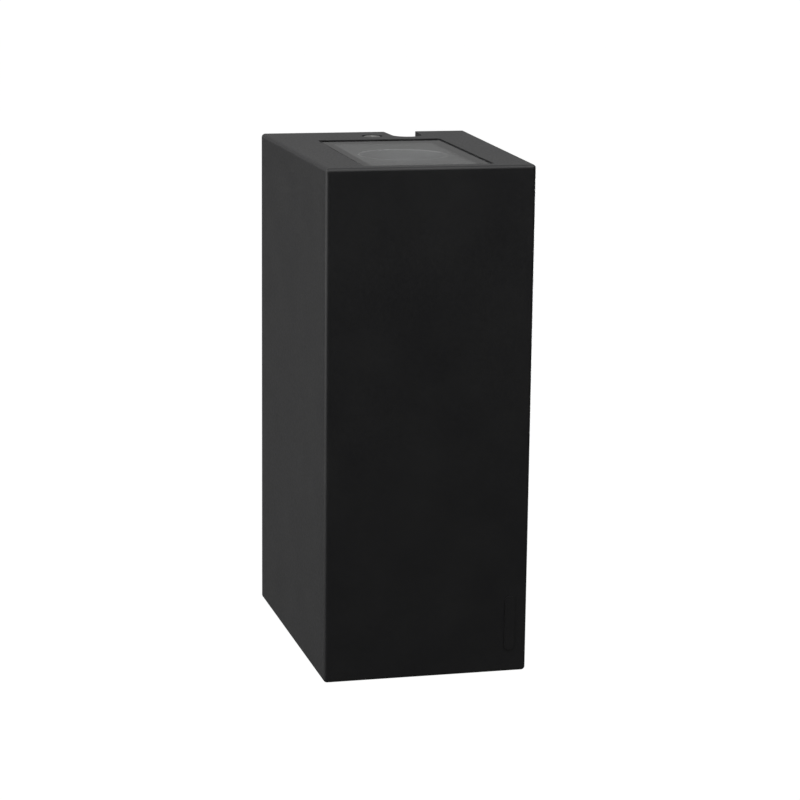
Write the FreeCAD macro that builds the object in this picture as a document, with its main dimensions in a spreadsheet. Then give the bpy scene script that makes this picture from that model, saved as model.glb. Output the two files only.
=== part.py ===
"""Up-and-down outdoor wall light: a cast cuboid housing that slides forward off a wall bracket.

Frame: origin on the wall plane at the middle of the light, +X to the right, +Y into the wall, +Z up.
Everything stands on the room side, so a depth d in front of the wall is at y = -d.
Both ends are alike: an end piece is drawn for the top, and a half turn about Y makes the bottom one.
"""
import FreeCAD
import Part
import Sketcher

import math
import os
import re

V = FreeCAD.Vector
doc = FreeCAD.newDocument("WallLight")
sheet = doc.addObject("Spreadsheet::Sheet", "Sizes")

SIZES = {
    # housing
    "body_height": 200, "front_width": 81, "back_width": 87, "body_depth": 116, "shell_wall": 3,
    "edge_radius": 1.5, "rear_gap": 1,
    # window at each end
    "window_width": 51, "window_length": 83.5, "window_margin": 5.5, "window_corner": 1.5,
    "glass_recess": 0.4, "glass_thickness": 4, "glass_gap": 0.9, "glass_edge": 0.6,
    "seal_thickness": 0.5, "ledge_width": 5, "ledge_thickness": 2.5, "frame_wall": 3,
    # cable notch at each end
    "notch_place": 15, "notch_width": 13.4, "notch_depth": 19, "notch_end_radius": 6.2,
    "notch_round": 0.8,
    # raised bar low on the front
    "bar_width": 4, "bar_length": 22, "bar_relief": 0.4, "bar_side_margin": 5, "bar_foot_margin": 9,
    # lock screw, its clip and its clamp nut
    "lock_place": 14.4, "counterbore_radius": 4.3, "counterbore_depth": 4.1, "head_radius": 3.5,
    "head_height": 4, "shank_radius": 2, "shank_clearance": 0.25, "shank_length": 17.5,
    "hex_radius": 1.73, "hex_depth": 2.2, "boss_radius": 6, "boss_reach": 9,
    "clip_radius": 3.5, "clip_thickness": 0.8, "groove_depth": 0.4, "clip_clearance": 0.15,
    "nut_width": 8, "nut_thickness": 3.2, "nut_tail": 24.6, "nut_travel": 2.1, "thread_clearance": 0.05,
    "guide_wall": 1.6, "guide_length": 5, "slide_clearance": 0.3,
    "seat_lift": 0.05,
    # wall bracket
    "plate_width": 68, "plate_thickness": 2, "gasket_thickness": 2, "tab_width": 14, "tab_reach": 19.5,
    "tab_slot_clearance": 0.4, "plate_corner": 4, "slot_spacing": 130, "slot_length": 11,
    "slot_width": 5, "gasket_inset": 1.5, "gasket_hole_gap": 2,
    # cable way
    "cable_place": -46, "cable_bore_radius": 4, "grommet_radius": 7, "grommet_lip": 1.5,
    # terminal socket, plug and bridge
    "socket_width": 30, "socket_height": 20, "socket_depth": 21.5, "ear_length": 8, "ear_height": 9,
    "ear_thickness": 3, "pin_radius": 1, "pin_pitch": 8, "pin_drop": 3, "pin_clearance": 0.05,
    "pin_length": 32, "pin_room": 2, "mating_gap": 0.5, "plug_width": 24, "plug_height": 16,
    "plug_depth": 16.5, "bridge_width": 76, "bridge_height": 28, "bridge_thickness": 1.5,
    "lug_height": 14, "lug_length": 16, "lug_inset": 8, "lug_screw_inset": 4.5,
    "terminal_rise": 5.5, "terminal_radius": 1.9, "terminal_clearance": 0.2, "terminal_length": 6,
    "blade_width": 0.6, "blade_depth": 1, "wire_entry_radius": 1.6, "wire_entry_place": 6,
    "wire_entry_depth": 8, "pin_window": 6, "pin_stub": 1,
    # cable clamp and earth
    "clamp_place": -27, "clamp_width": 28, "clamp_height": 8, "clamp_depth": 8,
    "clamp_groove_radius": 4.5, "clamp_screw_pitch": 20, "earth_side": 25, "earth_place": -27,
    "tag_radius": 3.4, "tag_length": 12, "tag_thickness": 0.8, "tag_width": 4.8,
    # small screws
    "screw_radius": 1.5, "screw_head_radius": 2.8, "screw_head_height": 2, "recess_width": 0.7,
    "recess_depth": 1.1, "screw_hole_clearance": 0.2, "tapped_relief": 0.02, "cut_spare": 1,
    "board_bite": 3, "pillar_bite": 6, "lug_bite": 8, "boss_bite": 4,
    # light engine at each end
    "reflector_height": 20, "reflector_rim": 17, "reflector_throat": 7.2, "reflector_wall": 1,
    "bead_size": 0.8, "mask_thickness": 0.8, "mask_clearance": 0.5, "mask_fit": 0.05, "glass_clearance": 0.3,
    "board_width": 52, "board_length": 44, "board_thickness": 1.6, "board_screw_place": 20,
    "emitter_radius": 6.5, "emitter_height": 1.2,
    "sink_width": 72, "sink_length": 69, "sink_base": 4, "fin_height": 14, "fin_wall": 1.8,
    "fin_count": 9, "fin_margin": 9, "pillar_radius": 3.5, "pillar_side": 32.4, "pillar_spacing": 58,
    "pillar_hole_depth": 10,
    # driver
    "driver_width": 42, "driver_height": 92, "driver_depth": 24, "driver_wall": 1.5,
    "driver_boss": 4, "driver_ear": 8, "driver_ear_width": 16, "driver_ear_thickness": 2,
    "earth_boss_gap": 8,
    "lid_thickness": 1.5, "circuit_thickness": 1.6, "circuit_clearance": 0.5,
    "circuit_standoff": 3, "transformer_size": 17, "transformer_rise": 12.75,
    "transformer_place": 4, "capacitor_radius": 5, "capacitor_length": 15, "capacitor_side": 9,
    "capacitor_place": -24,
    # wires
    "wire_radius": 1.1, "wire_stub": 12, "wire_gap": 0.3, "lead_inset": 11.3,
}

for row, (alias, number) in enumerate(SIZES.items(), start=1):
    sheet.set("A%d" % row, str(number))
    sheet.setAlias("A%d" % row, alias)
doc.recompute()

# Places that several pieces share, as depths in front of the wall or heights above the middle.
FRONT = "(rear_gap + body_depth)"
WINDOW_FRONT = f"({FRONT} - window_margin)"
WINDOW_BACK = f"({WINDOW_FRONT} - window_length)"
WINDOW_MIDDLE = f"({WINDOW_FRONT} - window_length / 2)"
GLASS_FOOT = "(body_height / 2 - glass_recess - glass_thickness)"
LEDGE_TOP = f"({GLASS_FOOT} - seal_thickness)"
FRAME_FOOT = f"({LEDGE_TOP} - ledge_thickness)"
INNER_TOP = "(body_height / 2 - shell_wall)"
LOCK = "(rear_gap + lock_place)"
SEAT = "(body_height / 2 - counterbore_depth)"
BOSS_FOOT = "(body_height / 2 - boss_reach)"
CLIP_TOP = f"({BOSS_FOOT} + clip_thickness + 2 * clip_clearance)"
TAB_TOP = f"({BOSS_FOOT} - slide_clearance)"
NUT_TOP = f"({TAB_TOP} - plate_thickness - slide_clearance)"
PLATE_BACK = "gasket_thickness"
PLATE_FRONT = "(gasket_thickness + plate_thickness)"
SOCKET_FRONT = f"({PLATE_FRONT} + socket_depth)"
PLUG_BACK = f"({SOCKET_FRONT} + mating_gap)"
BRIDGE_BACK = f"({PLUG_BACK} + plug_depth)"
BRIDGE_FRONT = f"({BRIDGE_BACK} + bridge_thickness)"
RIM_TOP = f"({GLASS_FOOT} - glass_clearance)"
BOARD_TOP = f"({RIM_TOP} - reflector_height)"
SINK_TOP = f"({BOARD_TOP} - board_thickness)"
DRIVER_FRONT = f"({FRONT} - shell_wall - driver_boss)"
DRIVER_BACK = f"({DRIVER_FRONT} - driver_depth)"
SCREW_HOLE = "(screw_radius + screw_hole_clearance)"
HALF_TURN = FreeCAD.Rotation(V(0, 1, 0), 180)
FACE_FRONT = FreeCAD.Rotation(V(1, 0, 0), 90)
FACE_WALL = FreeCAD.Rotation(V(1, 0, 0), -90)
UPSIDE_DOWN = FreeCAD.Rotation(V(1, 0, 0), 180)
NODES = []


def sized(text):
    """Turn the plain names in a formula into references to the sheet."""
    def point_at(match):
        word = match.group()
        return "Sizes." + word if word in SIZES else word
    return re.sub(r"[a-z][a-z_]*", point_at, str(text))


def value(text):
    """Work a formula out as a number, from the sheet's present values."""
    answer = sheet.evalExpression(sized(text))
    return float(getattr(answer, "Value", answer))


def bind(item, **formulas):
    """Bind properties to the sheet; a double underscore stands for a dot."""
    for name, text in formulas.items():
        item.setExpression(name.replace("__", "."), sized(text))
    return item


def keep(item, label):
    """Name an object as a node to be written."""
    item.Label = label
    NODES.append(item)
    return item


# Sketches and features.

def new_body(label, flipped=False, **place):
    """Start a body; flipped turns it to the bottom end, place binds its Placement.Base."""
    body = keep(doc.addObject("PartDesign::Body", "Body_" + label), label)
    if flipped:
        body.Placement = FreeCAD.Placement(V(), HALF_TURN)
    for axis, text in place.items():
        bind(body, **{"Placement__Base__" + axis: text})
    return body


def new_sketch(body, plane="XY", offset="0"):
    """Attach a sketch to one of the body's origin planes, offset along that plane's normal."""
    sketch = body.newObject("Sketcher::SketchObject", "Sketch")
    role = plane + "_Plane"
    support = [datum for datum in body.Origin.OriginFeatures if datum.Role == role][0]
    sketch.AttachmentSupport = [(support, "")]
    sketch.MapMode = "FlatFace"
    bind(sketch, AttachmentOffset__Base__z=offset)
    return sketch


def pin_point(sketch, geometry, point, place):
    """Hold a sketch point at a pair of formulas measured from the origin."""
    for kind, text in zip(("DistanceX", "DistanceY"), place):
        number = sketch.addConstraint(
            Sketcher.Constraint(kind, -1, 1, geometry, point, value(text)))
        sketch.setExpression("Constraints[%d]" % number, sized(text))


def polygon(sketch, corners):
    """Draw a closed outline whose corners are pairs of formulas."""
    first = sketch.GeometryCount
    spots = [V(value(x), value(y), 0) for x, y in corners]
    count = len(spots)
    for step in range(count):
        sketch.addGeometry(Part.LineSegment(spots[step], spots[(step + 1) % count]))
    for step in range(count):
        follower = first + (step + 1) % count
        sketch.addConstraint(Sketcher.Constraint("Coincident", first + step, 2, follower, 1))
    for step, place in enumerate(corners):
        pin_point(sketch, first + step, 1, place)
    return sketch


def rectangle(sketch, width, height, x="0", y="0"):
    """Draw a rectangle about a centre."""
    left, right = f"({x}) - ({width}) / 2", f"({x}) + ({width}) / 2"
    low, high = f"({y}) - ({height}) / 2", f"({y}) + ({height}) / 2"
    return polygon(sketch, [(left, low), (right, low), (right, high), (left, high)])


def circle(sketch, radius, x="0", y="0"):
    """Draw a circle about a centre."""
    shape = Part.Circle(V(value(x), value(y), 0), V(0, 0, 1), value(radius))
    number = sketch.addGeometry(shape)
    pin_point(sketch, number, 3, (x, y))
    size = sketch.addConstraint(Sketcher.Constraint("Radius", number, value(radius)))
    sketch.setExpression("Constraints[%d]" % size, sized(radius))
    return sketch


def slot(sketch, width, length, x="0", y="0"):
    """Draw an upright slot with round ends about a centre; length is measured over the ends."""
    radius = value(width) / 2
    reach = f"(({length}) - ({width})) / 2"
    low, high = f"({y}) - {reach}", f"({y}) + {reach}"
    middle = value(x)
    ends = []
    for level, start in ((high, 0.0), (low, math.pi)):
        round_end = Part.Circle(V(middle, value(level), 0), V(0, 0, 1), radius)
        arc = sketch.addGeometry(Part.ArcOfCircle(round_end, start, start + math.pi))
        pin_point(sketch, arc, 3, (x, level))
        ends.append(arc)
    top, foot = ends
    flank = V(radius, 0, 0)
    high_spot, low_spot = V(middle, value(high), 0), V(middle, value(low), 0)
    left = sketch.addGeometry(Part.LineSegment(high_spot - flank, low_spot - flank))
    right = sketch.addGeometry(Part.LineSegment(low_spot + flank, high_spot + flank))
    sketch.addConstraint(Sketcher.Constraint("Tangent", top, 2, left, 1))
    sketch.addConstraint(Sketcher.Constraint("Tangent", left, 2, foot, 1))
    sketch.addConstraint(Sketcher.Constraint("Tangent", foot, 2, right, 1))
    sketch.addConstraint(Sketcher.Constraint("Tangent", right, 2, top, 1))
    sketch.addConstraint(Sketcher.Constraint("Equal", top, foot))
    size = sketch.addConstraint(Sketcher.Constraint("Radius", top, radius))
    sketch.setExpression("Constraints[%d]" % size, sized(f"({width}) / 2"))
    return sketch


def notch(sketch, width, end_radius, x, mouth, depth):
    """Draw a notch that opens towards the wall: straight flanks lean in to a round end.

    mouth is the y of its open edge and depth its reach away from the wall."""
    middle, radius = value(x), value(end_radius)
    centre_y = f"({mouth}) - ({depth}) + ({end_radius})"
    corners = [(f"({x}) - ({width}) / 2", mouth), (f"({x}) + ({width}) / 2", mouth)]
    left_spot, right_spot = [V(value(a), value(b), 0) for a, b in corners]
    centre = V(middle, value(centre_y), 0)
    round_end = Part.Circle(centre, V(0, 0, 1), radius)
    arc = sketch.addGeometry(Part.ArcOfCircle(round_end, math.pi, 2 * math.pi))
    flank = V(radius, 0, 0)
    left = sketch.addGeometry(Part.LineSegment(left_spot, centre - flank))
    right = sketch.addGeometry(Part.LineSegment(centre + flank, right_spot))
    close = sketch.addGeometry(Part.LineSegment(right_spot, left_spot))
    sketch.addConstraint(Sketcher.Constraint("Tangent", left, 2, arc, 1))
    sketch.addConstraint(Sketcher.Constraint("Tangent", arc, 2, right, 1))
    sketch.addConstraint(Sketcher.Constraint("Coincident", right, 2, close, 1))
    sketch.addConstraint(Sketcher.Constraint("Coincident", close, 2, left, 1))
    pin_point(sketch, left, 1, corners[0])
    pin_point(sketch, right, 2, corners[1])
    pin_point(sketch, arc, 3, (x, centre_y))
    size = sketch.addConstraint(Sketcher.Constraint("Radius", arc, radius))
    sketch.setExpression("Constraints[%d]" % size, sized(end_radius))
    return sketch


def feature(body, kind, sketch, length, both_ways=False, reverse=False):
    """Add a pad or a pocket."""
    item = body.newObject("PartDesign::" + kind, kind)
    item.Profile = sketch
    if both_ways:
        item.SideType = "Symmetric"
    item.Reversed = reverse
    bind(item, Length=length)
    sketch.Visibility = False
    return item


def pad(body, sketch, length, both_ways=False, reverse=False):
    """Add a pad."""
    return feature(body, "Pad", sketch, length, both_ways, reverse)


def pocket(body, sketch, length, both_ways=False, reverse=False):
    """Cut a pocket, and stop if it takes nothing away."""
    doc.recompute()
    before = body.Shape.Volume
    item = feature(body, "Pocket", sketch, length, both_ways, reverse)
    doc.recompute()
    if body.Shape.Volume > before - 1e-6:
        raise RuntimeError("a pocket of %s cut nothing" % body.Label)
    return item


def round_edges(body, radius, chosen):
    """Round the edges of a body that a test picks out."""
    doc.recompute()
    names = ["Edge%d" % number for number, edge in enumerate(body.Shape.Edges, start=1)
             if chosen(edge)]
    base = body.Tip
    item = body.newObject("PartDesign::Fillet", "Fillet")
    item.Base = (base, names)
    bind(item, Radius=radius)
    body.Tip = item
    return item


# Primitives.

def cylinder(radius, height, x="0", y="0", z="0", turn=None):
    """A round bar whose axis rises along Z from its placed foot, or along a turned Z."""
    item = doc.addObject("Part::Cylinder", "Cylinder")
    if turn:
        item.Placement = FreeCAD.Placement(V(), turn)
    return bind(item, Radius=radius, Height=height, Placement__Base__x=x, Placement__Base__y=y,
                Placement__Base__z=z)


def block(width, depth, height, x="0", y="0", z="0"):
    """A box about a middle in x, reaching from y back by depth and from z up by height."""
    item = doc.addObject("Part::Box", "Box")
    return bind(item, Length=width, Width=depth, Height=height,
                Placement__Base__x=f"({x}) - ({width}) / 2", Placement__Base__y=y,
                Placement__Base__z=z)


def joined(*items):
    """Fuse several pieces of one solid."""
    item = doc.addObject("Part::MultiFuse", "Join")
    item.Shapes = list(items)
    return item


def cut(base, *tools):
    """Take tools away from a base."""
    item = doc.addObject("Part::Cut", "Cut")
    item.Base = base
    item.Tool = tools[0] if len(tools) == 1 else joined(*tools)
    return item


def group(label, items):
    """Several alike solids in one node."""
    item = doc.addObject("Part::Compound", "Group_" + label)
    item.Links = items
    return keep(item, label)


def small_screw(length, x, y, z, turn):
    """A pan-head screw with a cross recess: its head rises from the placed point along Z."""
    head = cylinder("screw_head_radius", "screw_head_height")
    shank = cylinder("screw_radius - tapped_relief", length, z=f"-({length})")
    floor = "screw_head_height - recess_depth"
    arm = "1.3 * screw_head_radius"
    cross = [block(arm, "recess_width", "2 * recess_depth", y="-recess_width / 2", z=floor),
             block("recess_width", arm, "2 * recess_depth", y=f"-{arm} / 2", z=floor)]
    item = cut(joined(head, shank), *cross)
    item.Placement = FreeCAD.Placement(V(), turn)
    return bind(item, Placement__Base__x=x, Placement__Base__y=y, Placement__Base__z=z)


# Housing.

def housing_width(depth):
    """The housing's outer width at a depth in front of the wall."""
    share = f"(({depth}) - rear_gap) / body_depth"
    return f"(back_width - (back_width - front_width) * {share})"


def make_housing():
    """A cast shell open to the wall, with a framed window, a notch and a lock boss at each end."""
    body = new_body("housing")
    rear, face = "rear_gap", FRONT
    outline = [(f"-{housing_width(rear)} / 2", f"-{rear}"), (f"{housing_width(rear)} / 2", f"-{rear}"),
               (f"{housing_width(face)} / 2", f"-{face}"), (f"-{housing_width(face)} / 2", f"-{face}")]
    pad(body, polygon(new_sketch(body), outline), "body_height", both_ways=True)
    rear_y = -value("rear_gap")
    round_edges(body, "edge_radius", lambda edge: edge.BoundBox.YMin < rear_y - 1)

    # The hollow runs out past the open back.
    inner_front = f"({FRONT} - shell_wall)"
    back_half = f"({housing_width('0')} / 2 - shell_wall)"
    front_half = f"({housing_width(inner_front)} / 2 - shell_wall)"
    hollow = [(f"-{back_half}", "0"), (back_half, "0"),
              (front_half, f"-{inner_front}"), (f"-{front_half}", f"-{inner_front}")]
    pocket(body, polygon(new_sketch(body), hollow), "body_height - 2 * shell_wall", both_ways=True)

    for end in (1, -1):
        inward = end > 0
        frame = new_sketch(body, offset=f"{end} * {INNER_TOP}")
        rectangle(frame, "window_width + 2 * frame_wall", "window_length + 2 * frame_wall",
                  y=f"-{WINDOW_MIDDLE}")
        pad(body, frame, f"{INNER_TOP} - {FRAME_FOOT}", reverse=inward)
        for side in (1, -1):
            for way in (1, -1):
                pillar = new_sketch(body, offset=f"{end} * {INNER_TOP}")
                circle(pillar, "pillar_radius", f"{side} * pillar_side",
                       f"-{WINDOW_MIDDLE} + {way} * pillar_spacing / 2")
                pad(body, pillar, f"{INNER_TOP} - {SINK_TOP}", reverse=inward)
        boss = circle(new_sketch(body, offset=f"{end} * {INNER_TOP}"), "boss_radius", y=f"-{LOCK}")
        pad(body, boss, f"{INNER_TOP} - {BOSS_FOOT}", reverse=inward)
        for side in (1, -1):
            guide = new_sketch(body, offset=f"{end} * {INNER_TOP}")
            guide_x = f"{side} * (nut_width / 2 + slide_clearance + guide_wall / 2)"
            back_edge = f"({WINDOW_BACK} - frame_wall)"
            rectangle(guide, "guide_wall", "guide_length", guide_x,
                      f"-{back_edge} + guide_length / 2")
            reach = f"{INNER_TOP} - {NUT_TOP} + nut_thickness + nut_travel + slide_clearance"
            pad(body, guide, reach, reverse=inward)

    for side in (1, -1):
        lug = new_sketch(body)
        lug_middle = f"({BRIDGE_FRONT} + lug_length / 2)"
        outer = f"{housing_width(BRIDGE_FRONT)} / 2 - shell_wall / 2"
        inner = f"{housing_width(BRIDGE_FRONT)} / 2 - shell_wall - lug_inset"
        near, far = BRIDGE_FRONT, f"({BRIDGE_FRONT} + lug_length)"
        polygon(lug, [(f"{side} * ({inner})", f"-{near}"), (f"{side} * ({outer})", f"-{near}"),
                      (f"{side} * ({outer})", f"-{far}"), (f"{side} * ({inner})", f"-{far}")])
        pad(body, lug, "lug_height", both_ways=True)

    bosses = new_sketch(body, "XZ", f"{FRONT} - shell_wall")
    for x, z in driver_boss_places():
        circle(bosses, "pillar_radius", x, z)
    pad(body, bosses, "driver_boss", reverse=True)

    # Cuts through both ends at once.
    aperture = new_sketch(body)
    rectangle(aperture, "window_width - 2 * ledge_width", "window_length - 2 * ledge_width",
              y=f"-{WINDOW_MIDDLE}")
    pocket(body, aperture, "body_height + 2", both_ways=True)
    shank = circle(new_sketch(body), "shank_radius + shank_clearance", y=f"-{LOCK}")
    pocket(body, shank, "body_height + 2", both_ways=True)
    gap = new_sketch(body)
    notch(gap, "notch_width", "notch_end_radius", "notch_place", "-rear_gap", "notch_depth")
    pocket(body, gap, "body_height + 2", both_ways=True)

    for end in (1, -1):
        outward = end < 0
        window = new_sketch(body, offset=f"{end} * {LEDGE_TOP}")
        rectangle(window, "window_width", "window_length", y=f"-{WINDOW_MIDDLE}")
        pocket(body, window, f"body_height / 2 - {LEDGE_TOP} + 1", reverse=not outward)
        seat = circle(new_sketch(body, offset=f"{end} * {SEAT}"), "counterbore_radius", y=f"-{LOCK}")
        pocket(body, seat, "counterbore_depth + 1", reverse=not outward)
        recess = circle(new_sketch(body, offset=f"{end} * {CLIP_TOP}"), "clip_radius + clip_clearance",
                        y=f"-{LOCK}")
        pocket(body, recess, f"{CLIP_TOP} - {BOSS_FOOT} + 1", reverse=outward)
        for side in (1, -1):
            for way in (1, -1):
                hole = new_sketch(body, offset=f"{end} * {SINK_TOP}")
                circle(hole, "screw_radius", f"{side} * pillar_side",
                       f"-{WINDOW_MIDDLE} + {way} * pillar_spacing / 2")
                pocket(body, hole, "pillar_hole_depth", reverse=not outward)

    tapped = new_sketch(body, "XZ", BRIDGE_FRONT)
    for side in (1, -1):
        circle(tapped, "screw_radius", f"{side} * (bridge_width / 2 - lug_screw_inset)", "0")
    pocket(body, tapped, "lug_length - 4", reverse=True)
    tapped = new_sketch(body, "XZ", DRIVER_FRONT)
    for x, z in driver_boss_places():
        circle(tapped, "screw_radius", x, z)
    pocket(body, tapped, "driver_boss + shell_wall - 1", reverse=True)

    # The notch's mouth corners and the window's corners are rounded.
    mouth = value("notch_width") / 2
    place = value("notch_place")

    def at_mouth(edge):
        box = edge.BoundBox
        return (box.YLength < 0.01 and box.XLength < 0.01 and abs(box.YMax - rear_y) < 0.01
                and abs(abs(box.XMax - place) - mouth) < 0.01)

    round_edges(body, "notch_round", at_mouth)
    half, low = value("window_width") / 2, value(LEDGE_TOP)
    front_y, back_y = -value(WINDOW_FRONT), -value(WINDOW_BACK)

    def at_window_corner(edge):
        box = edge.BoundBox
        upright = box.XLength < 0.01 and box.YLength < 0.01
        at_side = abs(abs(box.XMax) - half) < 0.01
        at_end = min(abs(box.YMax - front_y), abs(box.YMax - back_y)) < 0.01
        return upright and at_side and at_end and max(abs(box.ZMin), abs(box.ZMax)) > low

    round_edges(body, "window_corner", at_window_corner)

    bar = new_sketch(body, "XZ", FRONT)
    slot(bar, "bar_width", "bar_length", "front_width / 2 - bar_side_margin - bar_width / 2",
         "-body_height / 2 + bar_foot_margin + bar_length / 2")
    pad(body, bar, "bar_relief")
    return body


def driver_boss_places():
    """Middles of the bosses on the inside of the front: two for the driver, one for the earth."""
    reach = "(driver_height / 2 + driver_ear / 2)"
    return [("0", reach), ("0", f"-{reach}"), ("-driver_width / 2 - earth_boss_gap", "0")]


# What each end of the housing holds.

def make_glass(end, flipped):
    """The window glass and the soft bed that it lies on."""
    glass = new_body(end + "_glass", flipped)
    sheet_sketch = new_sketch(glass, offset=GLASS_FOOT)
    rectangle(sheet_sketch, "window_width - 2 * glass_gap", "window_length - 2 * glass_gap",
              y=f"-{WINDOW_MIDDLE}")
    pad(glass, sheet_sketch, "glass_thickness")
    round_edges(glass, "glass_edge", lambda edge: edge.BoundBox.ZLength > 1)

    bed = new_body(end + "_glass_seal", flipped)
    outline = new_sketch(bed, offset=LEDGE_TOP)
    rectangle(outline, "window_width - 2 * glass_gap", "window_length - 2 * glass_gap",
              y=f"-{WINDOW_MIDDLE}")
    rectangle(outline, "window_width - 2 * ledge_width", "window_length - 2 * ledge_width",
              y=f"-{WINDOW_MIDDLE}")
    pad(bed, outline, "seal_thickness")


def make_reflector(end, flipped):
    """A spun bowl that stands on the lamp board, and the mask pressed on its rim under the glass."""
    mask = new_body(end + "_window_mask", flipped, y=f"-{WINDOW_MIDDLE}")
    outline = new_sketch(mask, offset=f"{RIM_TOP} - mask_thickness")
    spare = "2 * (ledge_width + mask_clearance)"
    rectangle(outline, f"window_width - {spare}", f"window_length - {spare}")
    circle(outline, "reflector_rim + reflector_wall + mask_fit")
    pad(mask, outline, "mask_thickness")

    # The bowl's inside follows a parabola from throat to rim; a bead under the rim carries the mask.
    body = new_body(end + "_reflector", flipped, y=f"-{WINDOW_MIDDLE}")
    steps = 8
    throat, rim = "reflector_throat", "reflector_rim"

    def inside(share):
        return f"sqrt({throat} * {throat} + ({rim} * {rim} - {throat} * {throat}) * ({share}))"

    bowl = [(inside(step / steps), f"{BOARD_TOP} + reflector_height * {step / steps}")
            for step in range(steps + 1)]
    neck = f"{RIM_TOP} - mask_thickness"
    bead_foot = f"{neck} - bead_size"
    bead_share = "(reflector_height - mask_thickness - bead_size) / reflector_height"
    edge = f"{rim} + reflector_wall"
    outside = [(edge, RIM_TOP), (edge, neck), (f"{edge} + bead_size", neck),
               (f"{edge} + bead_size", bead_foot), (f"{inside(bead_share)} + reflector_wall", bead_foot)]
    outside += [(f"{radius} + reflector_wall", height) for radius, height in reversed(bowl[:-1])]
    profile = new_sketch(body, "XZ")
    polygon(profile, bowl + outside)
    turned = body.newObject("PartDesign::Revolution", "Revolution")
    turned.Profile = profile
    turned.ReferenceAxis = (profile, ["V_Axis"])
    turned.Angle = 360
    doc.recompute()


def make_lamp_board(end, flipped):
    """The metal-backed board, its light-emitting disc and the two screws that hold it."""
    board = new_body(end + "_led_board", flipped)
    outline = new_sketch(board, offset=SINK_TOP)
    rectangle(outline, "board_width", "board_length", y=f"-{WINDOW_MIDDLE}")
    for side in (1, -1):
        circle(outline, "screw_radius + 0.05", f"{side} * board_screw_place", f"-{WINDOW_MIDDLE}")
    pad(board, outline, "board_thickness")

    emitter = new_body(end + "_led_emitter", flipped)
    disc = circle(new_sketch(emitter, offset=BOARD_TOP), "emitter_radius", y=f"-{WINDOW_MIDDLE}")
    pad(emitter, disc, "emitter_height")

    sign = "-1" if flipped else "1"
    turn = UPSIDE_DOWN if flipped else FreeCAD.Rotation()
    screws = [small_screw("board_thickness + board_bite", f"{side} * board_screw_place",
                          f"-{WINDOW_MIDDLE}", f"{sign} * {BOARD_TOP}", turn) for side in (1, -1)]
    group(end + "_board_screws", screws)


def make_heat_sink(end, flipped):
    """An extruded base with fins, hung from the housing's four pillars by screws."""
    body = new_body(end + "_heat_sink", flipped)
    base_foot = f"({SINK_TOP} - sink_base)"
    corners = [("sink_width / 2", SINK_TOP), ("-sink_width / 2", SINK_TOP)]
    pitch = "((sink_width - 2 * fin_margin - fin_wall) / (fin_count - 1))"
    corners.append(("-sink_width / 2", base_foot))
    for number in range(int(value("fin_count"))):
        middle = f"(-(sink_width - 2 * fin_margin - fin_wall) / 2 + {number} * {pitch})"
        left, right = f"{middle} - fin_wall / 2", f"{middle} + fin_wall / 2"
        tip = f"{base_foot} - fin_height"
        corners += [(left, base_foot), (left, tip), (right, tip), (right, base_foot)]
    corners.append(("sink_width / 2", base_foot))
    comb = polygon(new_sketch(body, "XZ", WINDOW_MIDDLE), corners)
    pad(body, comb, "sink_length", both_ways=True)
    holes = new_sketch(body, offset=base_foot)
    for side in (1, -1):
        for way in (1, -1):
            circle(holes, SCREW_HOLE, f"{side} * pillar_side",
                   f"-{WINDOW_MIDDLE} + {way} * pillar_spacing / 2")
    pocket(body, holes, "sink_base", reverse=True)
    holes = new_sketch(body, offset=base_foot)
    for side in (1, -1):
        circle(holes, "screw_radius", f"{side} * board_screw_place", f"-{WINDOW_MIDDLE}")
    pocket(body, holes, "sink_base", reverse=True)

    sign = "-1" if flipped else "1"
    turn = FreeCAD.Rotation() if flipped else UPSIDE_DOWN
    screws = [small_screw("sink_base + pillar_bite", f"{side} * pillar_side",
                          f"-{WINDOW_MIDDLE} + {way} * pillar_spacing / 2",
                          f"{sign} * {base_foot}", turn) for side in (1, -1) for way in (1, -1)]
    group(end + "_heat_sink_screws", screws)


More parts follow.
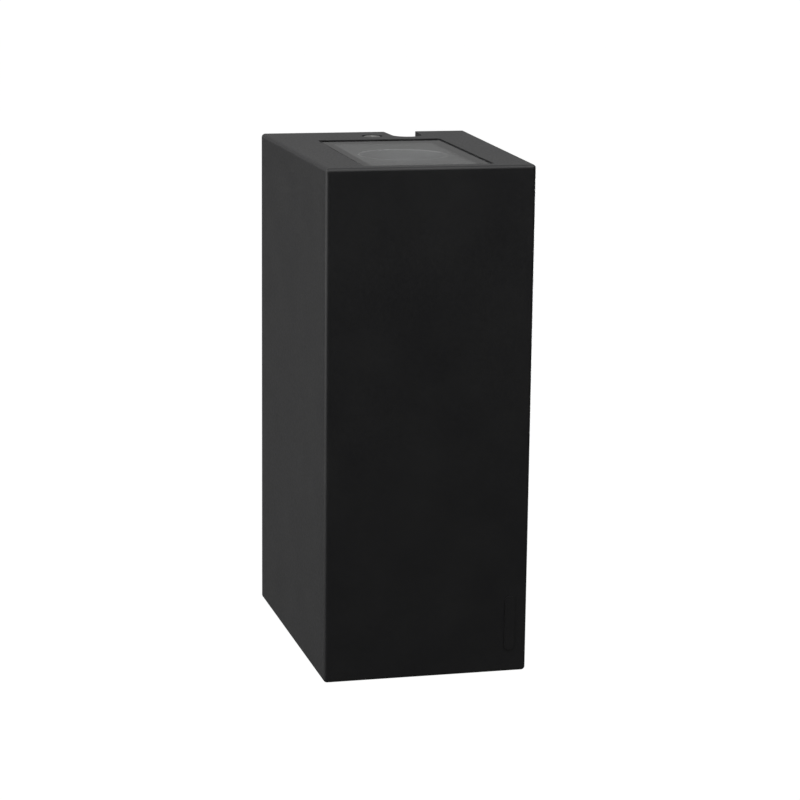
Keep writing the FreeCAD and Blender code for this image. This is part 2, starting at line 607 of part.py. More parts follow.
def make_lock(end, flipped):
    """The captive lock screw, the clip that keeps it and the plate nut that it draws up."""
    turn = HALF_TURN if flipped else FreeCAD.Rotation()
    groove_top, groove_foot = CLIP_TOP, f"({CLIP_TOP} - clip_thickness - 2 * clip_clearance)"
    upper = cylinder("shank_radius", f"{SEAT} - {groove_top}", z=groove_top)
    neck = cylinder("shank_radius - groove_depth", f"{groove_top} - {groove_foot}", z=groove_foot)
    lower = cylinder("shank_radius", f"shank_length - ({SEAT} - {groove_foot})",
                     z=f"{SEAT} - shank_length")
    head = cylinder("head_radius", "head_height", z=f"{SEAT} + seat_lift")
    neck_up = cylinder("shank_radius", "seat_lift", z=SEAT)
    socket = doc.addObject("Part::Prism", "Prism")
    socket.Polygon = 6
    bind(socket, Circumradius="hex_radius", Height="hex_depth + 1",
         Placement__Base__z=f"{SEAT} + seat_lift + head_height - hex_depth")
    screw = keep(cut(joined(head, neck_up, upper, neck, lower), socket), end + "_lock_screw")
    screw.Placement = FreeCAD.Placement(V(), turn)
    bind(screw, Placement__Base__y=f"-{LOCK}")

    foot = f"{groove_foot} + clip_clearance"
    ring = cylinder("clip_radius", "clip_thickness", z=foot)
    eye = cylinder("shank_radius - groove_depth", "clip_thickness + 2", z=f"{foot} - 1")
    mouth = block("1.6 * (shank_radius - groove_depth)", "clip_radius + 1", "clip_thickness + 2",
                  z=f"{foot} - 1")
    clip = keep(cut(ring, eye, mouth), end + "_lock_clip")
    clip.Placement = FreeCAD.Placement(V(), turn)
    bind(clip, Placement__Base__y=f"-{LOCK}")

    nut_back = f"({LOCK} - nut_width / 2 - 1)"
    plate = block("nut_width", f"nut_tail - {nut_back}", "nut_thickness",
                  y=f"-nut_tail + {LOCK}", z=f"{NUT_TOP} - nut_thickness")
    thread = cylinder("shank_radius + thread_clearance", "nut_thickness + 2",
                      z=f"{NUT_TOP} - nut_thickness - 1")
    nut = keep(cut(plate, thread), end + "_clamp_nut")
    nut.Placement = FreeCAD.Placement(V(), turn)
    bind(nut, Placement__Base__y=f"-{LOCK}")


# Wall bracket.

def make_bracket():
    """The steel plate with a forward tab at each end, the foam behind it and the grommet."""
    body = new_body("bracket_plate")
    plate = rectangle(new_sketch(body, "XZ", PLATE_BACK), "plate_width", f"2 * {TAB_TOP}")
    pad(body, plate, "plate_thickness")
    round_edges(body, "plate_corner", lambda edge: edge.BoundBox.YLength > 1)
    for end in (1, -1):
        tab = new_sketch(body, offset=f"{end} * {TAB_TOP}")
        rectangle(tab, "tab_width", f"tab_reach - {PLATE_BACK}", y=f"-(tab_reach + {PLATE_BACK}) / 2")
        pad(body, tab, "plate_thickness", reverse=end > 0)
        open_slot = new_sketch(body, offset=f"{end} * {TAB_TOP}")
        radius = "(shank_radius + tab_slot_clearance)"
        circle_end = f"-{LOCK}"
        slot_way(open_slot, radius, circle_end, "-tab_reach - 1")
        pocket(body, open_slot, "plate_thickness + 1", reverse=end < 0)
    holes = new_sketch(body, "XZ", PLATE_FRONT)
    wall_holes(holes)
    circle(holes, "grommet_radius", y="cable_place")
    for x, z in plate_screw_places():
        circle(holes, "screw_radius", x, z)
    pocket(body, holes, "plate_thickness + 1")

    gasket = new_body("wall_gasket")
    outline = new_sketch(gasket, "XZ", "0")
    rectangle(outline, "plate_width - 2 * gasket_inset", f"2 * {TAB_TOP} - 2 * gasket_inset")
    wall_holes(outline)
    circle(outline, "grommet_radius + gasket_hole_gap", y="cable_place")
    pad(gasket, outline, "gasket_thickness")
    quarter_width = value("plate_width") / 4
    round_edges(gasket, "plate_corner - gasket_inset",
                lambda edge: edge.BoundBox.YLength > 1 and abs(edge.BoundBox.XMax) > quarter_width)

    lip_radius = "grommet_radius + grommet_lip"
    neck = cylinder("grommet_radius", "plate_thickness", y=f"-{PLATE_BACK}", turn=FACE_FRONT)
    front = cylinder(lip_radius, "grommet_lip", y=f"-{PLATE_FRONT}", turn=FACE_FRONT)
    back = cylinder(lip_radius, "grommet_lip", y=f"-{PLATE_BACK} + grommet_lip", turn=FACE_FRONT)
    bore = cylinder("cable_bore_radius", f"{PLATE_FRONT} + 2 * grommet_lip + 2", y="1", turn=FACE_FRONT)
    grommet = keep(cut(joined(neck, front, back), bore), "cable_grommet")
    bind(grommet, Placement__Base__z="cable_place")


def slot_way(sketch, radius, round_y, open_y):
    """Draw a U-shaped way, round at round_y and open past open_y."""
    low, high, reach = value(open_y), value(round_y), value(radius)
    round_end = Part.Circle(V(0, high, 0), V(0, 0, 1), reach)
    arc = sketch.addGeometry(Part.ArcOfCircle(round_end, 0, math.pi))
    spots = [V(-reach, high, 0), V(-reach, low, 0), V(reach, low, 0), V(reach, high, 0)]
    lines = [sketch.addGeometry(Part.LineSegment(spots[step], spots[step + 1])) for step in range(3)]
    sketch.addConstraint(Sketcher.Constraint("Tangent", arc, 2, lines[0], 1))
    sketch.addConstraint(Sketcher.Constraint("Coincident", lines[0], 2, lines[1], 1))
    sketch.addConstraint(Sketcher.Constraint("Coincident", lines[1], 2, lines[2], 1))
    sketch.addConstraint(Sketcher.Constraint("Tangent", lines[2], 2, arc, 1))
    pin_point(sketch, arc, 3, ("0", round_y))
    pin_point(sketch, lines[0], 2, (f"-{radius}", open_y))
    pin_point(sketch, lines[2], 1, (radius, open_y))


def wall_holes(sketch):
    """The two upright slots for the wall screws."""
    for end in (1, -1):
        slot(sketch, "slot_width", "slot_length", y=f"{end} * slot_spacing / 2")


def plate_screw_places():
    """Tapped holes in the plate: for the socket's ears, the cable clamp and the earth screw."""
    ear = "(socket_width / 2 + ear_length / 2)"
    half = "clamp_screw_pitch / 2"
    return [(ear, "0"), (f"-{ear}", "0"), (half, "clamp_place"), (f"-{half}", "clamp_place"),
            ("earth_side", "earth_place")]


def make_terminals():
    """The terminal socket on the bracket with its screws."""
    body = new_body("terminal_socket")
    pad(body, rectangle(new_sketch(body, "XZ", PLATE_FRONT), "socket_width", "socket_height"),
        "socket_depth")
    ears = rectangle(new_sketch(body, "XZ", PLATE_FRONT), "socket_width + 2 * ear_length", "ear_height")
    pad(body, ears, "ear_thickness")
    holes = new_sketch(body, "XZ", PLATE_FRONT)
    for side in (1, -1):
        circle(holes, SCREW_HOLE, f"{side} * (socket_width / 2 + ear_length / 2)")
    pocket(body, holes, "ear_thickness", reverse=True)
    ways = new_sketch(body, "XZ", SOCKET_FRONT)
    wells = new_sketch(body, "XZ", SOCKET_FRONT)
    for number in (-1, 0, 1):
        circle(ways, "pin_radius + pin_clearance", f"{number} * pin_pitch", "-pin_drop")
        circle(wells, "terminal_radius + terminal_clearance", f"{number} * pin_pitch", "terminal_rise")
    pocket(body, ways, "pin_length - plug_depth - bridge_thickness - mating_gap - pin_stub + pin_room")
    pocket(body, wells, "socket_depth / 2")
    entries = new_sketch(body, offset="socket_height / 2")
    for number in (-1, 0, 1):
        circle(entries, "wire_entry_radius", f"{number} * pin_pitch", f"-{PLATE_FRONT} - wire_entry_place")
    pocket(body, entries, "wire_entry_depth")

    screws = []
    for number in (-1, 0, 1):
        shank = cylinder("terminal_radius", "terminal_length", x=f"{number} * pin_pitch",
                         y=f"-{SOCKET_FRONT} + socket_depth / 2", z="terminal_rise", turn=FACE_FRONT)
        blade = block("2 * terminal_radius + cut_spare", "blade_depth", "blade_width",
                      x=f"{number} * pin_pitch", y=f"-{SOCKET_FRONT} + socket_depth / 2 - terminal_length",
                      z="terminal_rise - blade_width / 2")
        screws.append(cut(shank, blade))
    group("terminal_screws", screws)
    ear_face = f"-{PLATE_FRONT} - ear_thickness"
    fixings = [small_screw("ear_thickness + plate_thickness", f"{side} * (socket_width + ear_length) / 2",
                           ear_face, "0", FACE_FRONT) for side in (1, -1)]
    group("socket_screws", fixings)


def make_clamp_and_earth():
    """The saddle that holds the supply cable, and the earth screw with its tag."""
    bar = block("clamp_width", "clamp_depth", "clamp_height",
                y=f"-{PLATE_FRONT} - clamp_depth", z="clamp_place - clamp_height / 2")
    groove = cylinder("clamp_groove_radius", "clamp_height + 2", y=f"-{PLATE_FRONT} - 1",
                      z="clamp_place - clamp_height / 2 - 1")
    holes = [cylinder(SCREW_HOLE, "clamp_depth + 2", x=f"{side} * clamp_screw_pitch / 2",
                      y=f"-{PLATE_FRONT} + 1", z="clamp_place", turn=FACE_FRONT) for side in (1, -1)]
    keep(cut(bar, groove, *holes), "cable_clamp")
    screws = [small_screw("clamp_depth + plate_thickness", f"{side} * clamp_screw_pitch / 2",
                          f"-{PLATE_FRONT} - clamp_depth", "clamp_place", FACE_FRONT)
              for side in (1, -1)]
    group("clamp_screws", screws)

    eye = cylinder("tag_radius", "tag_thickness", x="earth_side", y=f"-{PLATE_FRONT}",
                   z="earth_place", turn=FACE_FRONT)
    blade = block("tag_width", "tag_thickness", "tag_length", x="earth_side",
                  y=f"-{PLATE_FRONT} - tag_thickness", z="earth_place")
    way = cylinder(SCREW_HOLE, "tag_thickness + 2", x="earth_side", y=f"-{PLATE_FRONT} + 1",
                   z="earth_place", turn=FACE_FRONT)
    keep(cut(joined(eye, blade), way), "earth_tag")
    screw = small_screw("plate_thickness + tag_thickness", "earth_side",
                        f"-{PLATE_FRONT} - tag_thickness", "earth_place", FACE_FRONT)
    keep(screw, "earth_screw")


# Plug, bridge and driver, carried by the housing.

def make_plug():
    """The bridge across the housing's lugs, the plug on it, its pins and its screws."""
    bridge = new_body("plug_bridge")
    outline = new_sketch(bridge, "XZ", BRIDGE_BACK)
    rectangle(outline, "bridge_width", "bridge_height")
    rectangle(outline, "2 * pin_pitch + pin_window", "pin_window", y="-pin_drop")
    for side in (1, -1):
        circle(outline, SCREW_HOLE, f"{side} * (bridge_width / 2 - lug_screw_inset)")
    pad(bridge, outline, "bridge_thickness")
    screws = [small_screw("bridge_thickness + lug_bite", f"{side} * (bridge_width / 2 - lug_screw_inset)",
                          f"-{BRIDGE_BACK}", "0", FACE_WALL) for side in (1, -1)]
    group("bridge_screws", screws)

    plug = new_body("plug_block")
    pad(plug, rectangle(new_sketch(plug, "XZ", PLUG_BACK), "plug_width", "plug_height"), "plug_depth")
    holes = new_sketch(plug, "XZ", PLUG_BACK)
    for number in (-1, 0, 1):
        circle(holes, "pin_radius", f"{number} * pin_pitch", "-pin_drop")
    pocket(plug, holes, "plug_depth", reverse=True)
    pins = [cylinder("pin_radius", "pin_length", x=f"{number} * pin_pitch",
                     y=f"-{BRIDGE_FRONT} - pin_stub + pin_length", z="-pin_drop", turn=FACE_FRONT)
            for number in (-1, 0, 1)]
    group("plug_pins", pins)


def make_driver():
    """The driver's open case, its lid, its circuit and the screws that hold it to the front."""
    case = new_body("driver_case")
    pad(case, rectangle(new_sketch(case, "XZ", DRIVER_BACK), "driver_width", "driver_height"),
        "driver_depth")
    inside = rectangle(new_sketch(case, "XZ", DRIVER_BACK), "driver_width - 2 * driver_wall",
                       "driver_height - 2 * driver_wall")
    pocket(case, inside, "driver_depth - driver_wall", reverse=True)
    ears = rectangle(new_sketch(case, "XZ", DRIVER_FRONT), "driver_ear_width",
                     "driver_height + 2 * driver_ear")
    inner = "driver_height - driver_wall"
    rectangle(ears, "driver_ear_width - 1", inner)
    pad(case, ears, "driver_ear_thickness", reverse=True)
    holes = new_sketch(case, "XZ", DRIVER_FRONT)
    for x, z in driver_boss_places()[:2]:
        circle(holes, SCREW_HOLE, x, z)
    pocket(case, holes, "driver_ear_thickness")
    ear_back = f"-{DRIVER_FRONT} + driver_ear_thickness"
    screws = [small_screw("driver_ear_thickness + boss_bite", x, ear_back, z, FACE_WALL)
              for x, z in driver_boss_places()[:2]]
    group("driver_screws", screws)
    x, z = driver_boss_places()[2]
    keep(small_screw("boss_bite", x, f"-{DRIVER_FRONT}", z, FACE_WALL), "housing_earth_screw")

    lid = new_body("driver_lid")
    pad(lid, rectangle(new_sketch(lid, "XZ", f"{DRIVER_BACK} - lid_thickness"), "driver_width",
                       "driver_height"), "lid_thickness")
    spare = "2 * (driver_wall + circuit_clearance)"
    board = new_body("driver_circuit")
    level = f"{DRIVER_FRONT} - driver_wall - circuit_standoff - circuit_thickness"
    pad(board, rectangle(new_sketch(board, "XZ", level), f"driver_width - {spare}",
                         f"driver_height - {spare}"), "circuit_thickness")
    face = f"-({level}) "
    coil = block("transformer_size", "transformer_rise", "transformer_size", y=face,
                 z="transformer_place")
    keep(coil, "driver_transformer")
    cans = [cylinder("capacitor_radius", "capacitor_length", x=f"{side} * capacitor_side",
                     y=face, z="capacitor_place", turn=FACE_WALL) for side in (1, -1)]
    group("driver_capacitors", cans)


# Wires run as straight lengths joined by tangent arcs.

def wire(label, route):
    """Sweep a round tube along a route of formula triples; each bend is as large as its runs allow."""
    spots = [V(*(value(part) for part in place)) for place in route]
    edges = []
    here = spots[0]
    for before, corner, after in zip(spots, spots[1:], spots[2:]):
        back, on = (before - corner), (after - corner)
        run = min(back.Length, on.Length)
        back.normalize()
        on.normalize()
        reach = 0.45 * run
        start, finish = corner + back * reach, corner + on * reach
        half_turn = (math.pi - back.getAngle(on)) / 2
        radius = reach / math.tan(half_turn)
        middle = (back + on).normalize() * (radius / math.cos(half_turn) - radius)
        edges.append(Part.LineSegment(here, start).toShape())
        edges.append(Part.Arc(start, corner + middle, finish).toShape())
        print("%-16s bend radius %5.1f" % (label, radius))
        here = finish
    edges.append(Part.LineSegment(here, spots[-1]).toShape())
    path = Part.Wire(edges)
    thickness = value("wire_radius")
    ring = Part.Circle(spots[0], spots[1] - spots[0], thickness).toShape()
    tube = path.makePipeShell([Part.Wire([ring])], True, False)
    expected = math.pi * thickness ** 2 * path.Length
    if abs(tube.Volume - expected) > 0.01 * expected:
        raise RuntimeError("%s swept badly" % label)
    item = doc.addObject("Part::Feature", "Wire_" + label)
    item.Shape = tube
    return keep(item, label)


def make_wires():
    """Supply wires from the plug's pins to the driver, the earth wire and the lamp leads."""
    pin_end = f"-{BRIDGE_FRONT} - pin_stub"
    lid_face = f"-{DRIVER_BACK} + lid_thickness"
    for label, side in (("live_wire", 1), ("neutral_wire", -1)):
        x = f"{side} * pin_pitch"
        wire(label, [(x, pin_end, "-pin_drop"), (x, f"{pin_end} - wire_stub", "-pin_drop"),
                     (x, f"{lid_face} + 13.5", "-pin_drop - 6"), (x, lid_face, "-pin_drop - 6")])
    boss_x = "-driver_width / 2 - earth_boss_gap"
    boss_face = f"-{DRIVER_FRONT} + screw_head_height + wire_gap"
    wire("earth_wire", [("0", pin_end, "-pin_drop"), ("0", f"{pin_end} - wire_stub", "-pin_drop"),
                        ("-13", f"{pin_end} - 23", "-1"), (boss_x, f"{boss_face} + 28", "0"),
                        (boss_x, f"{boss_face} + 14", "2"), (boss_x, boss_face, "0")])
    out = f"-{WINDOW_MIDDLE} + sink_length / 2 + 4"
    for label, sign in (("top_led_lead", 1), ("bottom_led_lead", -1)):
        rise = f"{sign} * ({BOARD_TOP} + wire_radius + 0.1)"
        under = f"{sign} * ({SINK_TOP} - sink_base - fin_height"
        leaving = f"{sign} * (driver_height / 2 - lead_inset)"
        wire(label, [("-14", lid_face, leaving), ("-14", f"{lid_face} + 14", leaving),
                     ("-14", f"{out} - 17", f"{under} - 16)"), ("-14", out, f"{under} - 6)"),
                     ("-14", out, f"{under} + 4)"), ("-14", f"{out} - 1", rise),
                     ("-14", f"-{WINDOW_MIDDLE} + board_length / 2 - 1", rise)])


make_bracket()
make_terminals()
make_clamp_and_earth()
make_housing()
for end, flipped in (("top", False), ("bottom", True)):
    make_glass(end, flipped)
    make_reflector(end, flipped)
    make_lamp_board(end, flipped)
    make_heat_sink(end, flipped)
    make_lock(end, flipped)
make_plug()
make_driver()
make_wires()


def write_parts():
    """Check every object and write each node's shape."""
    doc.recompute()
    for item in doc.Objects:
        if "Invalid" in item.State or "Error" in item.State:
            raise RuntimeError("%s failed: %s" % (item.Label, item.State))
    os.makedirs("parts", exist_ok=True)
    for item in NODES:
        shape = item.Shape
        if shape.isNull() or not shape.isValid() or not shape.Solids:
            raise RuntimeError("%s has no sound shape" % item.Label)
        shape.exportStep("parts/%s.step" % item.Label)
        print("%-26s solids %d  volume %10.1f" % (item.Label, len(shape.Solids), shape.Volume))


write_parts()
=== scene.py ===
"""Looks for a cuboid up-and-down outdoor wall light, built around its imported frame."""

import math

import bpy
import numpy as np
from mathutils import Matrix, Vector


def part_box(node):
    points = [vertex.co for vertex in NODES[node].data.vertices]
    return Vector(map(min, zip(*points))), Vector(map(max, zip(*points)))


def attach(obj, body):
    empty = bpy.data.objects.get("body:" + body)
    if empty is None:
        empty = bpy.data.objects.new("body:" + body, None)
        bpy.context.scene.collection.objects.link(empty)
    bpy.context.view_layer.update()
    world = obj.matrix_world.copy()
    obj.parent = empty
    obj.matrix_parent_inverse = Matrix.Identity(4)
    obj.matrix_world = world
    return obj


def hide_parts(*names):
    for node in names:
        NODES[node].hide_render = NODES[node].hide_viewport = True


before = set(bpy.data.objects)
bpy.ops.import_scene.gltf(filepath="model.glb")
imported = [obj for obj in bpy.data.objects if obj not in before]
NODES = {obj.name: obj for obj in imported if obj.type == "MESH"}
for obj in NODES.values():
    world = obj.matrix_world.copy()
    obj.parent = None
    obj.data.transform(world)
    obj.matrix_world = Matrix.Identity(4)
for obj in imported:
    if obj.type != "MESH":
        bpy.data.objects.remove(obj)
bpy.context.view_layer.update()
ENDS = (("top", 1), ("bottom", -1))
MM = 0.001
FULL_TURN = 2 * math.pi


# Camera: a long lens, to the left of the light and a little above it.

LENS_MM = 111.91
SENSOR_MM = 36
CAMERA_PLACE = Vector((-0.22914, -1.01298, 0.21585))
HEADING = math.radians(13.650)
PITCH = math.radians(-12.512)
ROLL = math.radians(0.658)


def make_camera():
    """Aim the camera by heading and pitch, then roll it about its own line of sight."""
    forward = Vector((math.sin(HEADING) * math.cos(PITCH),
                      math.cos(HEADING) * math.cos(PITCH),
                      math.sin(PITCH)))
    level = Vector((math.cos(HEADING), -math.sin(HEADING), 0))
    upright = level.cross(forward)
    right = level * math.cos(ROLL) + upright * math.sin(ROLL)
    up = right.cross(forward)
    data = bpy.data.cameras.new("camera")
    data.lens = LENS_MM
    data.sensor_width = SENSOR_MM
    data.clip_start = 0.01
    camera = bpy.data.objects.new("camera", data)
    bpy.context.scene.collection.objects.link(camera)
    turn = Matrix((right, up, -forward)).transposed().to_4x4()
    camera.matrix_world = Matrix.Translation(CAMERA_PLACE) @ turn
    bpy.context.scene.camera = camera


# Node materials. Every pattern reads Object coordinates, in metres.

def new_material(name, color, roughness=0.5, metallic=0.0, **sockets):
    """Start a material and return its node tree, its shader and its coordinates."""
    material = bpy.data.materials.new(name)
    material.use_nodes = True
    tree = material.node_tree
    shader = tree.nodes["Principled BSDF"]
    shader.inputs["Base Color"].default_value = (*color, 1)
    shader.inputs["Roughness"].default_value = roughness
    shader.inputs["Metallic"].default_value = metallic
    for socket, amount in sockets.items():
        shader.inputs[socket.replace("_", " ")].default_value = amount
    place = tree.nodes.new("ShaderNodeTexCoord").outputs["Object"]
    return material, tree, shader, place


def grain(tree, place, scale, detail=2.0, roughness=0.5, stretch=None):
    """Noise with so many waves to the metre, drawn out along an axis by stretch."""
    if stretch:
        mapping = tree.nodes.new("ShaderNodeMapping")
        mapping.inputs["Scale"].default_value = stretch
        tree.links.new(place, mapping.inputs["Vector"])
        place = mapping.outputs["Vector"]
    noise = tree.nodes.new("ShaderNodeTexNoise")
    noise.inputs["Scale"].default_value = scale
    noise.inputs["Detail"].default_value = detail
    noise.inputs["Roughness"].default_value = roughness
    tree.links.new(place, noise.inputs["Vector"])
    return noise.outputs["Fac"]


def ramp(tree, factor, low, high, start=0.3, end=0.7):
    """Map a grey factor to a span of colours, or to a span of grey values."""
    if hasattr(low, "__len__"):
        node = tree.nodes.new("ShaderNodeValToRGB")
        node.color_ramp.elements[0].position = start
        node.color_ramp.elements[1].position = end
        node.color_ramp.elements[0].color = (*low, 1)
        node.color_ramp.elements[1].color = (*high, 1)
        tree.links.new(factor, node.inputs["Fac"])
        return node.outputs["Color"]
    node = tree.nodes.new("ShaderNodeMapRange")
    node.inputs["From Min"].default_value = start
    node.inputs["From Max"].default_value = end
    node.inputs["To Min"].default_value = low
    node.inputs["To Max"].default_value = high
    tree.links.new(factor, node.inputs["Value"])
    return node.outputs["Result"]


def bump(tree, shader, heights, strength=0.2):
    """Stack bumps from (height, distance) pairs onto the shader."""
    normal = None
    for height, distance in heights:
        node = tree.nodes.new("ShaderNodeBump")
        node.inputs["Strength"].default_value = strength
        node.inputs["Distance"].default_value = distance
        tree.links.new(height, node.inputs["Height"])
        if normal:
            tree.links.new(normal, node.inputs["Normal"])
        normal = node.outputs["Normal"]
    tree.links.new(normal, shader.inputs["Normal"])


def dress(material, *nodes):
    """Give CAD nodes a material in place of their plain one."""
    for name in nodes:
        slots = NODES[name].material_slots
        if slots:
            for slot in slots:
                slot.material = material
        else:
            NODES[name].data.materials.append(material)


def both(*names):
    """The names of the same nodes at the top end and at the bottom end."""
    return ["%s_%s" % (end, name) for end, _ in ENDS for name in names]


# Stage and light.

FLOOR_SIZE, FLOOR_DROP = 8.0, 0.45
FLOOR_SEEN = 0.03
FLOOR_REFLECTED = 0.16
WALLS_SEEN = 1.05
ROOM_FRONT = 0.07
ROOM_BACK = 0.21


def camera_switch(tree, plain, seen):
    """Mix two shaders: seen for the eye, plain for every other ray."""
    path = tree.nodes.new("ShaderNodeLightPath")
    mix = tree.nodes.new("ShaderNodeMixShader")
    tree.links.new(path.outputs["Is Camera Ray"], mix.inputs["Fac"])
    tree.links.new(plain, mix.inputs[1])
    tree.links.new(seen, mix.inputs[2])
    return mix.outputs["Shader"]


def matt_shader(tree, grey):
    """A matt surface of one grey."""
    node = tree.nodes.new("ShaderNodeBsdfDiffuse")
    node.inputs["Color"].default_value = (grey, grey, grey, 1)
    return node.outputs["BSDF"]


def make_stage():
    """A pale floor well below the light, which hangs on a wall in use.

    The eye sees it glow; other rays meet a dim matt floor. It is clear from underneath."""
    mesh = bpy.data.meshes.new("floor")
    corners = [(x * FLOOR_SIZE, y * FLOOR_SIZE, -FLOOR_DROP)
               for x, y in ((-1, -1), (1, -1), (1, 1), (-1, 1))]
    mesh.from_pydata(corners, [], [(0, 1, 2, 3)])
    floor = bpy.data.objects.new("floor", mesh)
    bpy.context.scene.collection.objects.link(floor)
    material = bpy.data.materials.new("pale_floor")
    material.use_nodes = True
    tree = material.node_tree
    tree.nodes.clear()
    glow = tree.nodes.new("ShaderNodeEmission")
    glow.inputs["Strength"].default_value = 1.0
    seen = tree.nodes.new("ShaderNodeAddShader")
    tree.links.new(matt_shader(tree, FLOOR_SEEN), seen.inputs[0])
    tree.links.new(glow.outputs["Emission"], seen.inputs[1])
    clear = tree.nodes.new("ShaderNodeBsdfTransparent")
    one_sided = tree.nodes.new("ShaderNodeMixShader")
    side = tree.nodes.new("ShaderNodeNewGeometry")
    tree.links.new(side.outputs["Backfacing"], one_sided.inputs["Fac"])
    dim = matt_shader(tree, FLOOR_REFLECTED)
    tree.links.new(camera_switch(tree, dim, seen.outputs["Shader"]), one_sided.inputs[1])
    tree.links.new(clear.outputs["BSDF"], one_sided.inputs[2])
    output = tree.nodes.new("ShaderNodeOutputMaterial")
    tree.links.new(one_sided.outputs["Shader"], output.inputs["Surface"])
    mesh.materials.append(material)


def make_world():
    """A white room for the eye; what reflects in the paint is dark in front and paler behind."""
    world = bpy.data.worlds.new("studio")
    bpy.context.scene.world = world
    world.use_nodes = True
    tree = world.node_tree
    tree.nodes.clear()
    seen = tree.nodes.new("ShaderNodeBackground")
    seen.inputs["Strength"].default_value = WALLS_SEEN
    room = tree.nodes.new("ShaderNodeBackground")
    way = tree.nodes.new("ShaderNodeSeparateXYZ")
    around = tree.nodes.new("ShaderNodeTexCoord")
    tree.links.new(around.outputs["Generated"], way.inputs["Vector"])
    tree.links.new(ramp(tree, way.outputs["Y"], ROOM_FRONT, ROOM_BACK, -0.5, 0.9),
                   room.inputs["Strength"])
    output = tree.nodes.new("ShaderNodeOutputWorld")
    tree.links.new(camera_switch(tree, room.outputs["Background"], seen.outputs["Background"]),
                   output.inputs["Surface"])
    for node in (seen, room):
        node.inputs["Color"].default_value = (1, 1, 1, 1)


def area_light(name, place, target, size, power):
    """A rectangular light at a place, facing a target; sizes in metres, power in watts."""
    data = bpy.data.lights.new(name, "AREA")
    data.shape = "RECTANGLE"
    data.size, data.size_y = size
    data.energy = power
    light = bpy.data.objects.new(name, data)
    bpy.context.scene.collection.objects.link(light)
    light.location = place
    facing = Vector(target) - Vector(place)
    light.rotation_euler = facing.to_track_quat("-Z", "Y").to_euler()


def make_lights():
    """Large soft lights above and to the left, and two small ones for the front and the back."""
    area_light("overhead", (0, 1.2, 1.8), (0, 1.2, 0), (5, 5), 34)
    area_light("left_fill", (-1.7, 0.6, 0.1), (0, 0.6, 0.1), (3.2, 3.2), 42)
    area_light("near_front", (0, -0.5, 0.6), (0, -0.1, 0.05), (1.1, 0.7), 3.7)
    area_light("rear_fill", (1.3, 1.8, -0.25), (0, 0, 0), (1.5, 0.36), 14)


# Finishes.

def black_powder_coat():
    """Matt black paint: a faint cloud in its colour, and the fine orange peel of baked powder."""
    material, tree, shader, place = new_material(
        "black_powder_coat", (0.016, 0.016, 0.017), 0.4)
    cloud = grain(tree, place, 45, 3)
    tree.links.new(ramp(tree, cloud, (0.0135, 0.0135, 0.0145), (0.019, 0.019, 0.0195)),
                   shader.inputs["Base Color"])
    fine = grain(tree, place, 900, 2)
    tree.links.new(ramp(tree, fine, 0.36, 0.46), shader.inputs["Roughness"])
    peel = (grain(tree, place, 420, 2), 0.00012)
    dust = (grain(tree, place, 1700, 1), 0.00004)
    bump(tree, shader, [peel, dust], 0.22)
    return material


def window_glass():
    """Clear glass with a faint smear in its polish."""
    material, tree, shader, place = new_material(
        "window_glass", (0.95, 0.97, 0.96), 0.03, IOR=1.5, Transmission_Weight=1.0)
    smear = grain(tree, place, 60, 3)
    tree.links.new(ramp(tree, smear, 0.02, 0.06), shader.inputs["Roughness"])
    return material


def satin_metal(name, color, roughness, scale=500, stretch=(1, 1, 0.05), depth=0.00003):
    """Metal with fine lines drawn out by stretch, and a patchy tone."""
    material, tree, shader, place = new_material(name, color, roughness, 1.0)
    lines = grain(tree, place, scale, 2, stretch=stretch)
    tree.links.new(ramp(tree, lines, roughness * 0.8, roughness * 1.25),
                   shader.inputs["Roughness"])
    darker = [part * 0.82 for part in color]
    patches = grain(tree, place, 70, 3)
    tree.links.new(ramp(tree, patches, darker, color), shader.inputs["Base Color"])
    bump(tree, shader, [(lines, depth)], 0.3)
    return material


def moulded(name, color, roughness, scale=700, depth=0.00003, **sockets):
    """Plastic, rubber or a coat of one colour, with a fine moulded grain."""
    material, tree, shader, place = new_material(name, color, roughness, **sockets)
    darker = [part * 0.9 for part in color]
    patches = grain(tree, place, 90, 3)
    tree.links.new(ramp(tree, patches, darker, color), shader.inputs["Base Color"])
    fine = grain(tree, place, scale, 2)
    tree.links.new(ramp(tree, fine, roughness * 0.88, roughness * 1.12),
                   shader.inputs["Roughness"])
    bump(tree, shader, [(fine, depth)], 0.3)
    return material


